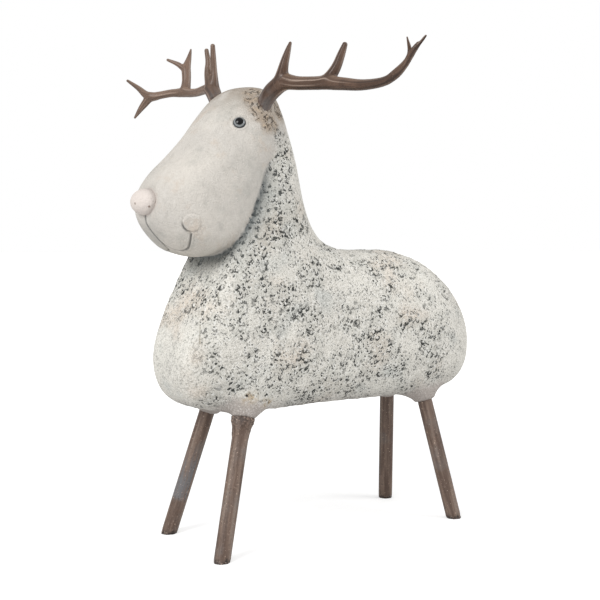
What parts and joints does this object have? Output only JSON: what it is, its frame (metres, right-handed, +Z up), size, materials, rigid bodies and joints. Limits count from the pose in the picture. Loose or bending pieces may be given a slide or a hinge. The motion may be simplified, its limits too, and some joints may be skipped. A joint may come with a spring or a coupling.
{
  "type": "reindeer figurine",
  "caption": "Standing reindeer figurine: a rounded cast body and smooth head on plain round rods, with two branching antlers, a ball nose and bead eyes.",
  "frame": {"origin": "on the floor, under the middle of the overall box", "axes": "+Z up, the animal faces -Y, its left side is +X"},
  "size_m": [0.3332, 0.3004, 0.3892],
  "materials": {
    "casting": "matt off-white wash over a pitted grey casting",
    "antler": "satin brown",
    "rod": "matt rust brown",
    "eye": "glossy black"
  },
  "bodies": {
    "root": {"body": "casting", "antler_left": "antler", "antler_right": "antler", "eye_left": "eye", "eye_right": "eye", "leg_front_left": "rod", "leg_front_right": "rod", "leg_back_left": "rod", "leg_back_right": "rod"}
  },
  "joints": []
}
